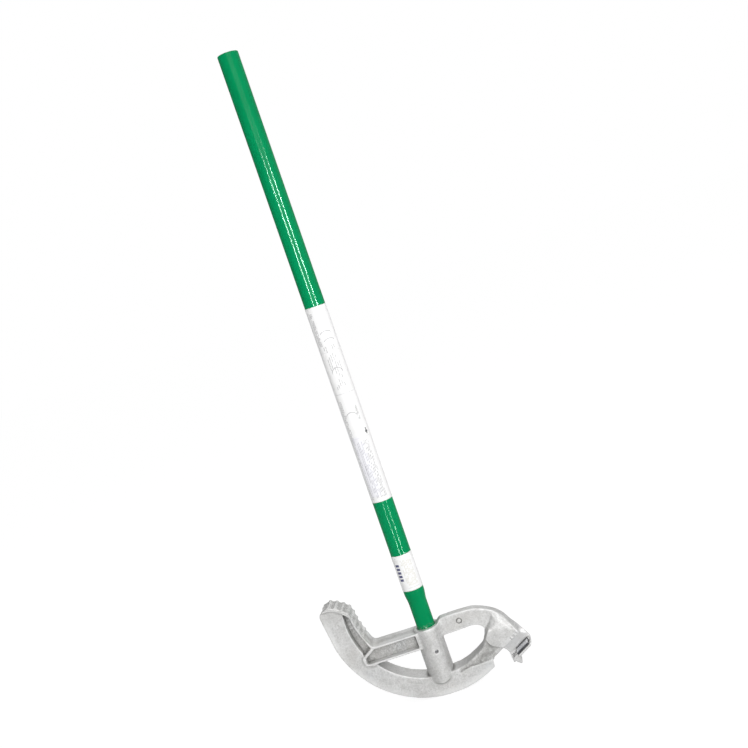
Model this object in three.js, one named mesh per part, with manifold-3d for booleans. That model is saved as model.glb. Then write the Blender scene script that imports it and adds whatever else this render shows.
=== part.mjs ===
// Hand conduit bender: one-piece cast aluminium head on a painted steel pipe handle.
// Millimetres, +Z up along the handle. +X points to the hook, -Y is the open side of the hook.
// Origin: bottom centre of the bounding box. The handle axis is parallel to Z at x = AXIS_X.
// Parts are drawn from the handle axis and moved to AXIS_X together.
// "Left" is -X, "right" is +X, "near" is -Y and "far" is +Y.
import * as THREE from 'three';
import { mergeVertices } from 'three/addons/utils/BufferGeometryUtils.js';
import Module from 'manifold-3d';

const wasm = await Module();
wasm.setup();

// ---------- driving dimensions ----------
// suffixes: _R radius, _HW half width along Y, _U distance along the exit path from its
// tangent point, _D distance from the bend centre square to the exit path
const AXIS_X = 2.1;          // handle axis, from the origin
const GROOVE_R = 15.0;
const BEND_R = 155.0;        // bend radius to the conduit centreline
const RIM_R = 157.0;         // outer radius of the shoe flanges
const SHOE_IN_R = 123.5;     // inner radius of the shoe
const CENTRE_X = 4.2;        // bend centre
const CENTRE_Z = RIM_R;      // puts the lowest rim point at z = 0
const SHOE_HW = 18.0;
const SHOE_END_X = 86.2;     // right end of the shoe, at the throat
const ARM_HW = 20.5;         // left arm flanges and pedal
const WEB_HW = 6.0;          // recessed webs
const PLATE_HW = 8.5;        // right arm plate
const FLANGE_T = 3.2;        // flange thickness of the left arm
const CUT_HW = 40;           // cutters that pass right through the head
const GUARD_HW = 60;         // blocks taken out of cutters, wider than any cutter

const CHANNEL_START = -87;   // left end of the curved channel, degrees round the bend centre
const EXIT_DEG = 29.5;       // direction in which the conduit leaves the shoe, above +X
const EXIT = EXIT_DEG * Math.PI / 180;

const HOOK_U = 73.0;         // front face of the hook
const GROOVE_BOTTOM_D = BEND_R + GROOVE_R;
const LIP_SEAT_D = GROOVE_BOTTOM_D + 3.3;  // cast face under the insert
const LIP_UNDER_D = 178.0;   // underside of the lip
const LIP_Y0 = -8.0;         // free edge of the lip
const WALL_IN_Y = 10.0;      // near face of the hook's far wall
const WALL_OUT_Y = 19.5;     // far face of the same wall
const LIP_OUT_Y = WALL_OUT_Y - 1;  // far end of the lip, inside the wall

const BOSS_R = 21.1;         // socket boss half width along X
const BOSS_OVAL = 3.5;       // extra half depth of the boss along Y
const BOSS_Z0 = 22.5;        // rounded lower end
const BOSS_ROUND_Z = 43.0;   // where the rounding meets the straight sides
const MOUTH_Z = 114.0;       // socket mouth
const BORE_R = 15.05;
const BORE_Z0 = 62.0;        // bore floor

const NECK_R = 14.75;        // swaged neck
const NECK_IN_R = 11.5;
const TUBE_R = 16.7;
const TUBE_IN_R = 13.4;
const SPIGOT_Z0 = 63.0;      // lower end of the handle
const SWAGE_Z0 = 155.0;      // taper from neck to tube
const SWAGE_Z1 = 174.0;
const TOP_Z = 1060.0;
const TOP_CHAMFER = 0.8;
const LABEL_T = 0.15;
const LABEL_GAP = 0.12;      // label to tube
const LABEL_SPANS = { instruction_label: [331.0, 654.0], short_label: [179.5, 239.5] };

const TEETH_AT = [12.5, 22.8, 33, 43.2, 53.8, 64.6, 75.6, 87.2];  // along the tread from its tip
const TOOTH_H = 2.1;
const TOOTH_ROOT_HALF = 3.4; // half length along the tread
const TOOTH_TIP_HALF = 1.5;
const TREAD_SINK = 1.2;      // depth of teeth and pad below the tread, to overlap it
const TREAD_Y0 = -ARM_HW + 2.0;  // plain lip along the near side
const TREAD_Y1 = ARM_HW - 0.6;
const CROWN_H = 2.7;         // crown of the upper tread
const CROWN_START = [2, 12]; // span along the tread where the crown builds up
const CROWN_END = [36, 56];  // span where it fades

const SCREW_Z = 75.0;
const SCREW_R = 2.5;
const SCREW_HOLE_R = 2.8;
const SCREW_AZIMUTH = 15.5 * Math.PI / 180;  // from -Y towards +X
const SCREW_IN = 15.15;      // screw ends, from the handle axis
const SCREW_OUT = 22.4;
const HEX_R = 1.45;          // hexagon socket
const HEX_DEPTH = 2.6;

// ---------- placing points in the XZ plane ----------
const exitAt = (along, depth) => [
  CENTRE_X + along * Math.cos(EXIT) + depth * Math.sin(EXIT),
  CENTRE_Z + along * Math.sin(EXIT) - depth * Math.cos(EXIT),
];
// outline given as [along, depth] pairs on the exit path
const exitPath = pairs => pairs.map(([along, depth]) => exitAt(along, depth));
const exitRect = (u0, u1, d0, d1) => exitPath([[u0, d0], [u1, d0], [u1, d1], [u0, d1]]);
// point round the bend centre; degrees from straight down, positive towards the hook
function polar(radius, degrees) {
  const angle = degrees * Math.PI / 180;
  return [CENTRE_X + radius * Math.sin(angle), CENTRE_Z - radius * Math.cos(angle)];
}
function arc(radius, start, end, step = 4) {
  const count = Math.max(1, Math.ceil(Math.abs(end - start) / step));
  return Array.from({ length: count + 1 }, (_, i) => polar(radius, start + (end - start) * i / count));
}
// points on the upper and lower faces of the left arm
const armTop = (x, offset = 0) => [x, 111.4 + 0.020 * (x + 20) + offset];
const armBottom = (x, offset = 0) => [x, 83.9 + 0.024 * (x + 19) + offset];
const onMidplane = ([x, z]) => [x, 0, z];
const screwPoint = radius => [
  radius * Math.sin(SCREW_AZIMUTH), -radius * Math.cos(SCREW_AZIMUTH), SCREW_Z,
];

// ---------- solids ----------
function solid(geometry) {
  const bare = geometry.clone();
  bare.deleteAttribute('normal');
  bare.deleteAttribute('uv');
  const merged = mergeVertices(bare, 1e-4);
  const result = new wasm.Manifold(new wasm.Mesh({
    numProp: 3,
    vertProperties: new Float32Array(merged.attributes.position.array),
    triVerts: new Uint32Array(merged.index.array),
  }));
  if (result.volume() <= 0) throw new Error('solid is not closed or is inside out');
  return result;
}
const join = (first, ...others) => others.reduce((body, other) => body.add(other), first);
const cut = (base, ...cutters) => cutters.reduce((body, cutter) => body.subtract(cutter), base);
const toShape = points => points.map(([x, z]) => new THREE.Vector2(x, z));

// a plate in the XZ plane, from y0 to y1
function plate(points, y0, y1) {
  const geometry = new THREE.ExtrudeGeometry(new THREE.Shape(toShape(points)), {
    depth: y1 - y0, bevelEnabled: false, curveSegments: 1,
  });
  geometry.rotateX(Math.PI / 2);
  geometry.translate(0, y1, 0);
  return solid(geometry);
}

// a closed skin over equal-count rings of [x, y, z]; flip reverses every triangle
function skin(rings, firstCap, lastCap, flip = false) {
  const count = rings[0].length;
  const last = (rings.length - 1) * count;
  const faces = [...firstCap, ...lastCap.map(([a, b, c]) => [last + a, last + c, last + b])];
  for (let k = 0; k + 1 < rings.length; k++) {
    for (let i = 0; i < count; i++) {
      const j = (i + 1) % count;
      const here = k * count;
      const next = here + count;
      faces.push([here + i, next + j, here + j], [here + i, next + i, next + j]);
    }
  }
  const geometry = new THREE.BufferGeometry();
  geometry.setAttribute('position', new THREE.Float32BufferAttribute(rings.flat(2), 3));
  geometry.setIndex(faces.flatMap(([a, b, c]) => flip ? [a, c, b] : [a, b, c]));
  return solid(geometry);
}

// a body lofted through XZ outlines at increasing y, counterclockwise with x right and z up
function loft(sections) {
  const cap = ({ points }) => THREE.ShapeUtils.triangulateShape(toShape(points), []);
  const rings = sections.map(({ y, points }) => points.map(([x, z]) => [x, y, z]));
  return skin(rings, cap(sections[0]), cap(sections.at(-1)));
}

// a body through convex rings at increasing z, counterclockwise from above
function stack(rings) {
  const fan = Array.from({ length: rings[0].length - 2 }, (_, i) => [0, i + 1, i + 2]);
  return skin(rings, fan, fan, true);
}

// a round solid along Z from a closed (radius, z) profile
function turned(profile) {
  return solid(new THREE.LatheGeometry(toShape(profile), 48).rotateX(Math.PI / 2));
}

// a cylinder or cone between two points
function rod(start, end, radius, segments, endRadius = radius) {
  const from = new THREE.Vector3(...start);
  const span = new THREE.Vector3(...end).sub(from);
  const length = span.length();
  const geometry = new THREE.CylinderGeometry(endRadius, radius, length, segments);
  geometry.translate(0, length / 2, 0);
  geometry.applyQuaternion(new THREE.Quaternion().setFromUnitVectors(
    new THREE.Vector3(0, 1, 0), span.normalize()));
  geometry.translate(from.x, from.y, from.z);
  return solid(geometry);
}

// ---------- head: shoe and pedal; outline points are [x, z] ----------
// curved shoe from the pedal's toe to the throat
function makeShoe() {
  return plate([
    ...arc(RIM_R, -85, 31.2), [SHOE_END_X, 35.2], [80.5, 62],
    ...arc(SHOE_IN_R, 38, -97),
    [-119.5, 178], [-126, 183.5], [-150, 188.5], [-154.6, 185.5],
    [-156.6, 180.5], [-156.4, 175.5], [-154.4, 160],
  ], -SHOE_HW, SHOE_HW);
}

// outer face of the tread, from its tip down to the left arm
const TREAD = [
  [-151, 189.5], [-144.5, 190.2], [-136.5, 188.8], [-128, 185.2], [-120, 179.8],
  [-112.5, 174.0], [-108.8, 169.5], [-107.2, 162], [-105, 149], [-102.6, 141],
  [-99.5, 131.4], [-96.3, 123], [-92.6, 114.5],
];

// full-width block of the tread and left arm
function makePedal() {
  return plate([
    ...TREAD, [-89.5, 111.2], armTop(-84), armTop(-20), armTop(0),
    armBottom(0), armBottom(-20), armBottom(-88), armBottom(-93, -1.6),
    [-98, 79.5], [-110.5, 83.2], [-112.5, 95.2], [-110.8, 98.0],
    ...arc(SHOE_IN_R + 0.6, -65, -93, 5),
    [-119.4, 176.2], [-127, 182.4], [-136, 186.2], [-144, 187.4], [-151, 186.6],
  ], -ARM_HW, ARM_HW);
}

// recesses on both sides of the webs, leaving the tread and the arm flanges
function recessCutters() {
  const behindTread = [
    [-119.0, 175.6], [-114.2, 171.6], [-111.0, 168.0], [-109.8, 161.6], [-107.6, 148.5],
    [-105.2, 140.2], [-102.1, 130.6], [-98.9, 122.2], [-95.2, 113.4], [-93.4, 109.9],
    [-109.6, 98.4], ...arc(SHOE_IN_R + 0.9, -65.2, -93, 5), [-119.9, 172.5],
  ];
  const betweenFlanges = [
    armTop(-19, -FLANGE_T), armTop(-88.5, -FLANGE_T), [-106.5, 95.2],
    armBottom(-107.5, FLANGE_T + 1.2), armBottom(-104, FLANGE_T), armBottom(-19, FLANGE_T),
  ];
  return [behindTread, betweenFlanges].flatMap(outline => [
    plate(outline, -ARM_HW - 1, -WEB_HW),
    plate(outline, WEB_HW, ARM_HW + 1),
  ]);
}

// distance of each TREAD point from the tip
const TREAD_LENGTHS = [0];
for (let i = 1; i < TREAD.length; i++) {
  const [[x0, z0], [x1, z1]] = [TREAD[i - 1], TREAD[i]];
  TREAD_LENGTHS.push(TREAD_LENGTHS[i - 1] + Math.hypot(x1 - x0, z1 - z0));
}

// point at a height above the tread; shift moves it along the tangent at the station
function treadPoint(station, height, shift = 0) {
  let i = 1;
  while (i < TREAD.length - 1 && TREAD_LENGTHS[i] < station) i++;
  const [[x0, z0], [x1, z1]] = [TREAD[i - 1], TREAD[i]];
  const length = TREAD_LENGTHS[i] - TREAD_LENGTHS[i - 1];
  const part = (station - TREAD_LENGTHS[i - 1]) / length;
  const tangentX = (x1 - x0) / length;
  const tangentZ = (z1 - z0) / length;
  return [
    x0 + (x1 - x0) * part + tangentX * shift - tangentZ * height,
    z0 + (z1 - z0) * part + tangentZ * shift + tangentX * height,
  ];
}
function crownHeight(station) {
  const { smoothstep } = THREE.MathUtils;
  return CROWN_H * smoothstep(station, ...CROWN_START) * (1 - smoothstep(station, ...CROWN_END));
}

// crowned pad under the upper teeth
function makeTreadPad() {
  const stations = Array.from({ length: 15 }, (_, i) => 3 + i * 4);
  return plate([
    ...stations.map(s => treadPoint(s, -TREAD_SINK)),
    ...stations.toReversed().map(s => treadPoint(s, crownHeight(s) + 0.05)),
  ], TREAD_Y0, TREAD_Y1);
}
function makeTooth(station) {
  const root = crownHeight(station);
  return plate([
    treadPoint(station, -TREAD_SINK, TOOTH_ROOT_HALF),
    treadPoint(station, root, TOOTH_ROOT_HALF),
    treadPoint(station, root + TOOTH_H, TOOTH_TIP_HALF),
    treadPoint(station, root + TOOTH_H, -TOOTH_TIP_HALF),
    treadPoint(station, root, -TOOTH_ROOT_HALF),
    treadPoint(station, -TREAD_SINK, -TOOTH_ROOT_HALF),
  ], TREAD_Y0, TREAD_Y1);
}

// ---------- head: right arm and hook ----------
// flat plate from the boss to the hook
function makeRightArm() {
  return plate([
    // upper edge
    [12, 113.2], [17.2, 114.6], [21.0, 118.2], [25, 120.6], [30, 121.2], [48, 121.8],
    [70, 122.0], [78, 121.7], [84, 120.5], [93, 117.4], [102.5, 113.2], [109, 109.6],
    [116, 104.2], [120.5, 99.6], [124.5, 94.2],
    // end inside the hook
    ...exitPath([[HOOK_U + 1.2, 124], [HOOK_U + 1.2, 143], [20, 143]]),
    // lower edge, round the opening above the shoe
    [78, 59], [83.5, 68], [86.6, 78.5], [89.3, 82.2], [86.5, 87.3], [82, 91.2], [77, 93.6],
    [71, 94.4], [55, 93.6], [24, 92.2], [21, 89], [0, 89],
  ], -PLATE_HW, PLATE_HW);
}

// hook body: swells from the arm plate to the full width over the conduit channel
function makeHood() {
  // outline at the side faces
  const side = [
    ...exitPath([[8, 146.5], [40, 146.5], [HOOK_U, 146.5], [HOOK_U, 138], [70.5, 129.5],
      [64, 122.5], [54.5, 117.5]]),
    [100.8, 83.0], [93.9, 83.2], [90.7, 78.9], [88.2, 74.4], [85.4, 69.6],
    [80, 60], [72, 52], [76, 45],
  ];
  // outline at the faces of the arm plate
  const middle = [
    ...exitPath([[8, 146.5], [40, 146.5], [HOOK_U + 1, 146.5], [HOOK_U + 1, 128],
      [HOOK_U + 1, 112], [70, 97]]),
    [106.4, 105.8], [101.3, 98.0], [96.6, 90.8], [89.4, 80.0], [86.8, 75.0], [83.9, 70.0],
    [78, 59], [70, 51], [74, 44],
  ];
  return loft([
    { y: -SHOE_HW, points: side }, { y: -PLATE_HW, points: middle },
    { y: PLATE_HW, points: middle }, { y: SHOE_HW, points: side },
  ]);
}

// underside shared by the far wall and the lip, [along, depth]
const LIP_UNDERSIDE = [
  [HOOK_U - 2, 175.5], [HOOK_U - 6, LIP_UNDER_D], [41, LIP_UNDER_D], [39.5, 181],
  [36.5, 188.5], [33.5, 189.5], [30.5, 182.5],
];

// far wall of the hook, with a two-lobed toe
function makeFarWall() {
  return plate([
    ...exitPath([[38, 140], [HOOK_U, 140], [HOOK_U, 170], ...LIP_UNDERSIDE,
      [28.5, 181.5], [26.0, 184.2], [23.5, 182.5]]),
    [113.0, 21.5], [112.2, 26.5], [109.5, 31.5], [105.5, 35.5], [100.5, 38.6],
    exitAt(31, 140),
  ], WALL_IN_Y, WALL_OUT_Y);
}

// lip under the conduit, and its narrower near edge
function makeLip() {
  return plate(exitPath([
    [31.5, LIP_SEAT_D], [40.5, LIP_SEAT_D], [HOOK_U - 5, LIP_SEAT_D], [HOOK_U, LIP_SEAT_D - 2],
    ...LIP_UNDERSIDE, [29.5, 176],
  ]), LIP_Y0 + 6, LIP_OUT_Y);
}
function makeLipEdge() {
  return plate(exitPath([
    [41, LIP_SEAT_D], [HOOK_U - 5, LIP_SEAT_D], [HOOK_U - 2, LIP_SEAT_D + 0.5],
    [HOOK_U - 3, 175.8], [HOOK_U - 6.5, LIP_UNDER_D], [41, LIP_UNDER_D],
  ]), LIP_Y0, LIP_OUT_Y);
}

// ---------- head: socket boss ----------
function ovalRing(radius, z) {
  return Array.from({ length: 48 }, (_, i) => {
    const angle = 2 * Math.PI * i / 48;
    const spread = Math.max(-1, Math.min(1, 3 * Math.sin(angle)));
    return [radius * Math.cos(angle), radius * Math.sin(angle) + BOSS_OVAL * spread, z];
  });
}

// oval boss, trimmed to a rounded lower end
function makeBoss() {
  const body = stack([
    ovalRing(BOSS_R - 1.4, BOSS_Z0 - 0.5), ovalRing(BOSS_R - 0.3, BOSS_Z0 + 5),
    ovalRing(BOSS_R, BOSS_Z0 + 10), ovalRing(BOSS_R, MOUTH_Z - 1),
    ovalRing(BOSS_R - 1, MOUTH_Z),
  ]);
  const roundEnd = Array.from({ length: 17 }, (_, i) => {
    const angle = Math.PI * i / 16;
    return [
      -(BOSS_R + 0.01) * Math.cos(angle),
      BOSS_ROUND_Z - (BOSS_ROUND_Z - BOSS_Z0) * Math.sin(angle),
    ];
  });
  const trim = [[-BOSS_R - 1, 130], ...roundEnd, [BOSS_R + 1, 130]];
  return body.intersect(plate(trim, -CUT_HW, CUT_HW));
}

// fillet between the boss and the right arm, the same on both sides
function makeBossFillet() {
  const half = [
    { y: 13.5, points: [[12, 90.5], [18.2, 90.5], [18.2, 112.2], [16.5, 113.4], [12, 113.4]] },
    { y: 10.2, points: [[12, 90.5], [22.2, 91.4], [22.2, 116.6], [18.2, 114.8], [12, 113.4]] },
    {
      y: PLATE_HW - 0.2,
      points: [[12, 90.5], [25.6, 92.0], [25.6, 119.8], [20, 115.8], [12, 113.4]],
    },
  ];
  return loft([...half.map(({ y, points }) => ({ y: -y, points })), ...half.toReversed()]);
}

// ---------- head: cutters ----------
// conduit channel: bent along the shoe, straight through the hook and past the pedal's toe
function channelCutters() {
  const torus = solid(new THREE.TorusGeometry(BEND_R, GROOVE_R, 28, 96)
    .rotateX(Math.PI / 2).translate(CENTRE_X, 0, CENTRE_Z));
  const sector = plate(
    [[CENTRE_X, CENTRE_Z], ...arc(230, CHANNEL_START, EXIT_DEG, 10)], -CUT_HW, CUT_HW);
  // opens the groove outwards, but not inside the hook
  const slot = plate([
    ...arc(BEND_R, CHANNEL_START, EXIT_DEG), ...arc(BEND_R + 20, EXIT_DEG, CHANNEL_START),
  ], -GROOVE_R, GROOVE_R);
  const hookGuard = plate(exitRect(0, 120, 100, 220), -GUARD_HW, GUARD_HW);
  const hookBore = rod(
    onMidplane(exitAt(-0.6, BEND_R)), onMidplane(exitAt(100, BEND_R)), GROOVE_R, 40);
  // opens the near side of the hook and the throat, but not the shoe
  const nearSide = plate(exitRect(-1, 100, BEND_R, 170.2), -CUT_HW, GROOVE_R);
  const shoeGuard = plate(
    [[0, 0], [SHOE_END_X, 0], [SHOE_END_X, 60], [0, 60]], -GUARD_HW, GUARD_HW);
  const insertSeat = plate(
    exitRect(30, HOOK_U - 6.2, 169.9, LIP_SEAT_D), LIP_Y0 - 3, GROOVE_R - 0.1);
  // straight groove at the toe, open to the left
  const [toeX, toeZ] = polar(BEND_R, -86.5);
  const [endX, endZ] = [toeX - 0.075 * 70, toeZ + 0.997 * 70];
  const toeBore = rod([toeX, 0, toeZ], [endX, 0, endZ], GROOVE_R, 40);
  const toeSlot = plate(
    [[toeX, toeZ], [toeX - 30, toeZ], [endX - 30, endZ], [endX, endZ]], -GROOVE_R, GROOVE_R);
  const exitFlare = rod(
    onMidplane(exitAt(HOOK_U - 6, BEND_R)), onMidplane(exitAt(HOOK_U + 2, BEND_R)),
    GROOVE_R, 40, GROOVE_R + 3.4);
  return [
    torus.intersect(sector), slot.subtract(hookGuard), hookBore, nearSide.subtract(shoeGuard),
    insertSeat, toeBore, toeSlot, exitFlare,
  ];
}

// handle bore, its flared mouth and the set screw hole
function socketCutters() {
  return [
    rod([0, 0, BORE_Z0], [0, 0, 140], BORE_R, 48),
    rod([0, 0, MOUTH_Z - 1.6], [0, 0, MOUTH_Z + 0.4], BORE_R, 48, BORE_R + 2),
    rod(screwPoint(10), screwPoint(40), SCREW_HOLE_R, 20),
  ];
}

// a shallow round dimple in each face of the right arm
function dimpleCutters() {
  const [x, z] = [53.6, 107.8];
  return [-1, 1].map(side =>
    rod([x, side * (PLATE_HW - 1.6), z], [x, side * (PLATE_HW + 1), z], 4.6, 24));
}

function makeHead() {
  const blank = join(makeShoe(), makePedal(), makeRightArm(), makeHood(), makeFarWall(),
    makeLip(), makeLipEdge());
  const body = join(cut(blank, ...recessCutters()), makeBoss(), makeBossFillet(),
    makeTreadPad(), ...TEETH_AT.map(makeTooth));
  return cut(body, ...channelCutters(), ...socketCutters(), ...dimpleCutters());
}

// ---------- insert, set screw, handle and labels ----------
// insert on the lip
function makeInsert() {
  return plate(
    exitRect(42, HOOK_U - 6.5, GROOVE_BOTTOM_D + 0.4, LIP_SEAT_D - 0.3),
    LIP_Y0 + 0.2, GROOVE_R - 0.4);
}

// set screw with a hexagon socket in its outer end
function makeScrew() {
  return cut(
    rod(screwPoint(SCREW_IN), screwPoint(SCREW_OUT), SCREW_R, 24),
    rod(screwPoint(SCREW_OUT - HEX_DEPTH), screwPoint(SCREW_OUT + 1), HEX_R, 6));
}

// pipe swaged down to a neck that fits the socket
function makeTube() {
  return turned([
    [NECK_IN_R, SPIGOT_Z0], [NECK_R - 1, SPIGOT_Z0], [NECK_R, SPIGOT_Z0 + 1.2],
    [NECK_R, SWAGE_Z0], [TUBE_R, SWAGE_Z1], [TUBE_R, TOP_Z - TOP_CHAMFER],
    [TUBE_R - TOP_CHAMFER, TOP_Z], [TUBE_IN_R, TOP_Z], [TUBE_IN_R, SWAGE_Z1 + 2],
    [NECK_IN_R, SWAGE_Z0 + 2], [NECK_IN_R, SPIGOT_Z0],
  ]);
}

// a sleeve round the tube
function makeLabel([z0, z1]) {
  const inner = TUBE_R + LABEL_GAP;
  const outer = inner + LABEL_T;
  return turned([[inner, z0], [outer, z0], [outer, z1], [inner, z1], [inner, z0]]);
}

// ---------- materials ----------
const material = settings => new THREE.MeshStandardMaterial(settings);
const paint = material({ color: '#0a9b64', roughness: 0.28, metalness: 0.0 });
const cast = material({ color: '#cdccca', roughness: 0.55, metalness: 0.8 });
const vinyl = material({ color: '#f4f4f2', roughness: 0.45, metalness: 0.0 });
const steel = material({ color: '#c9cbd2', roughness: 0.25, metalness: 1.0 });
const darkSteel = material({ color: '#4a4a4c', roughness: 0.5, metalness: 1.0 });

// ---------- scene graph ----------
function mesh(name, body, surface) {
  const { vertProperties, triVerts } = body.getMesh();
  const geometry = new THREE.BufferGeometry();
  const positions = new THREE.BufferAttribute(new Float32Array(vertProperties), 3);
  geometry.setAttribute('position', positions);
  geometry.setIndex(new THREE.BufferAttribute(new Uint32Array(triVerts), 1));
  geometry.computeVertexNormals();
  const result = new THREE.Mesh(geometry, surface);
  result.name = name;
  return result;
}

const handle = new THREE.Group();
handle.add(mesh('handle_tube', makeTube(), paint));
for (const [name, span] of Object.entries(LABEL_SPANS)) {
  handle.add(mesh(name, makeLabel(span), vinyl));
}

const onAxis = new THREE.Group();
onAxis.position.set(AXIS_X, 0, 0);
onAxis.add(
  mesh('bender_head', makeHead(), cast),
  mesh('hook_insert', makeInsert(), steel),
  mesh('handle_set_screw', makeScrew(), darkSteel),
  handle,
);

const group = new THREE.Group();
group.add(onAxis);

export default group;
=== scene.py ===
"""A hand conduit bender: a cast head with a pedal and a hook, on a long painted pipe handle.

The handle stands upright along z. The pedal points to -x and the hook to +x; the open side of
the hook faces -y, towards the camera. Sizes are in mm, with x measured from the handle's axis,
and are turned into metres in the world frame when a mesh is made.
"""
import math

import bpy
import numpy as np
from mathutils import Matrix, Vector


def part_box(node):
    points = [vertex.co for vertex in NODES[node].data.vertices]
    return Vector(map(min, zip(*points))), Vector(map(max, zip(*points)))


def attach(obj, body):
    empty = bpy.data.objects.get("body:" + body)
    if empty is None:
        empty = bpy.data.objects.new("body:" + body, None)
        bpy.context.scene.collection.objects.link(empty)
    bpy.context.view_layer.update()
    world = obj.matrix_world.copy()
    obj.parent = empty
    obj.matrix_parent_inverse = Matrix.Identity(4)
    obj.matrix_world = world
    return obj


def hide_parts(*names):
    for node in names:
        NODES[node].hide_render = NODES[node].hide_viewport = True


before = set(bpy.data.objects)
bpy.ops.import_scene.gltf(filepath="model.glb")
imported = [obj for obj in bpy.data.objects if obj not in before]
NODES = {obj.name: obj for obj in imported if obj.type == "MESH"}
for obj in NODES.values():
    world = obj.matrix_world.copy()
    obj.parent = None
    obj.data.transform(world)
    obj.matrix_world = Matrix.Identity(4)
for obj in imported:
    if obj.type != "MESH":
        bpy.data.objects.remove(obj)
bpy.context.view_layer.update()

import openvdb
from mathutils import Matrix, Vector

# ------------------------------------------------------------------ main dimensions, mm
tube_low, tube_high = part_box("handle_tube")
AXIS_X = (tube_low.x + tube_high.x) / 2 * 1000      # handle axis in the world
TUBE_R = (tube_high.x - tube_low.x) / 2 * 1000
TOP_Z = tube_high.z * 1000
END_Z = tube_low.z * 1000                           # lower end of the handle
NECK_R = 14.75
BORE_R = 15.05                                      # threaded socket in the head
THREAD_PITCH = 2.2                                  # handle and socket
SWAGE_Z0, SWAGE_Z1 = 155.0, 174.0                   # shoulder from the neck to full size
BEND_X, BEND_Z = 4.2, 157.0                         # bend centre
SHOE_HALF = 18.0                                    # half width of the shoe
EXIT = math.radians(29.5)                           # slope of the hook's run
SCREW_AZ = math.radians(15.5)                       # set screw, turned from -y towards +x
SCREW_Z = 75.0
SCREW_R = 2.5


# ------------------------------------------------------------------ distance-field tools
def node_arrays(node):
    """Points (mm, x from the handle axis) and triangles of a CAD piece."""
    mesh = NODES[node].data
    mesh.calc_loop_triangles()
    points = np.empty(len(mesh.vertices) * 3, np.float32)
    mesh.vertices.foreach_get("co", points)
    triangles = np.empty(len(mesh.loop_triangles) * 3, np.int32)
    mesh.loop_triangles.foreach_get("vertices", triangles)
    points = points.reshape(-1, 3).astype(np.float64) * 1000
    points[:, 0] -= AXIS_X
    return points, triangles.reshape(-1, 3)


def make_grid(low, high, voxel):
    """Shape of a grid from low to high, and its x, y and z as broadcasting columns."""
    shape = tuple(int(math.ceil(n)) for n in (high - low) / voxel)
    axes = [low[i] + voxel * np.arange(n) for i, n in enumerate(shape)]
    return shape, np.meshgrid(*axes, indexing="ij", sparse=True)


def mesh_field(points, triangles, low, voxel, shape, band=8):
    """Signed distance (mm) of a closed mesh on a dense grid, clamped to band voxels."""
    grid = openvdb.FloatGrid.createLevelSetFromPolygons(
        ((points - low) / voxel).astype(np.float32), triangles=triangles.astype(np.uint32),
        transform=openvdb.createLinearTransform(1.0), halfWidth=float(band))
    field = np.zeros(shape, np.float32)
    grid.copyToArray(field, ijk=(0, 0, 0))
    return field * np.float32(voxel)


def blur(field, sigma):
    """Gaussian blur; sigma is in voxels."""
    reach = max(1, int(math.ceil(2.6 * sigma)))
    kernel = np.exp(-0.5 * (np.arange(-reach, reach + 1) / sigma) ** 2)
    kernel = (kernel / kernel.sum()).astype(np.float32)
    for axis in range(field.ndim):
        pads = [(reach, reach) if i == axis else (0, 0) for i in range(field.ndim)]
        padded = np.pad(field, pads, mode="edge")
        total = np.zeros_like(field)
        count = field.shape[axis]
        for i, weight in enumerate(kernel):
            window = [slice(None)] * field.ndim
            window[axis] = slice(i, i + count)
            total += weight * padded[tuple(window)]
        field = total
    return field


def sample(field, points):
    """Trilinear sample of a field at index-space points."""
    points = np.clip(points, 0, np.array(field.shape) - 1.001)
    cell = points.astype(int)
    x, y, z = cell.T
    part_x, part_y, part_z = (points - cell).astype(np.float32).T
    total = 0
    for dx, dy, dz in np.ndindex(2, 2, 2):
        weight = ((part_x if dx else 1 - part_x) * (part_y if dy else 1 - part_y)
                  * (part_z if dz else 1 - part_z))
        total = total + weight * field[x + dx, y + dy, z + dz]
    return total


def noise_field(shape, cell, seed):
    """Smooth random field, about unit variance, with features of `cell` voxels."""
    draw = np.random.default_rng(seed)
    coarse = [max(4, int(math.ceil(n / cell)) + 4) for n in shape]
    field = blur(draw.standard_normal(coarse).astype(np.float32), 0.8)
    field = (field - field.mean()) / field.std()
    for axis, count in enumerate(shape):
        place = np.arange(count) / cell + 1
        index = place.astype(int)
        part = (place - index).astype(np.float32)
        part = part * part * (3 - 2 * part)
        along = [1, 1, 1]
        along[axis] = count
        part = part.reshape(along)
        field = np.take(field, index, axis) * (1 - part) + np.take(field, index + 1, axis) * part
    return field


def step(value, start, end):
    """Smooth step from 0 at start to 1 at end."""
    part = np.clip((value - start) / (end - start), 0, 1)
    return part * part * (3 - 2 * part)


def join(first, second, fillet):
    """Union of two fields with a smooth fillet."""
    part = np.clip(0.5 + 0.5 * (second - first) / fillet, 0, 1)
    return second * (1 - part) + first * part - fillet * part * (1 - part)


def carve(field, tool):
    return np.maximum(field, -tool)


# ------------------------------------------------------------------ mesh tools
def new_mesh(name, points, faces):
    """Mesh from points and faces that all have the same corner count."""
    mesh = bpy.data.meshes.new(name)
    corners = faces.shape[1]
    mesh.vertices.add(len(points))
    mesh.vertices.foreach_set("co", np.asarray(points, np.float32).ravel())
    mesh.loops.add(faces.size)
    mesh.loops.foreach_set("vertex_index", faces.astype(np.int32).ravel())
    mesh.polygons.add(len(faces))
    mesh.polygons.foreach_set("loop_start", np.arange(0, faces.size, corners, dtype=np.int32))
    mesh.polygons.foreach_set("loop_total", np.full(len(faces), corners, np.int32))
    mesh.update(calc_edges=True)
    return mesh


def shade_smooth(mesh):
    mesh.polygons.foreach_set("use_smooth", np.ones(len(mesh.polygons), bool))
    mesh.update()


def add_object(name, data):
    ob = bpy.data.objects.new(name, data)
    bpy.context.scene.collection.objects.link(ob)
    return ob


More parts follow.
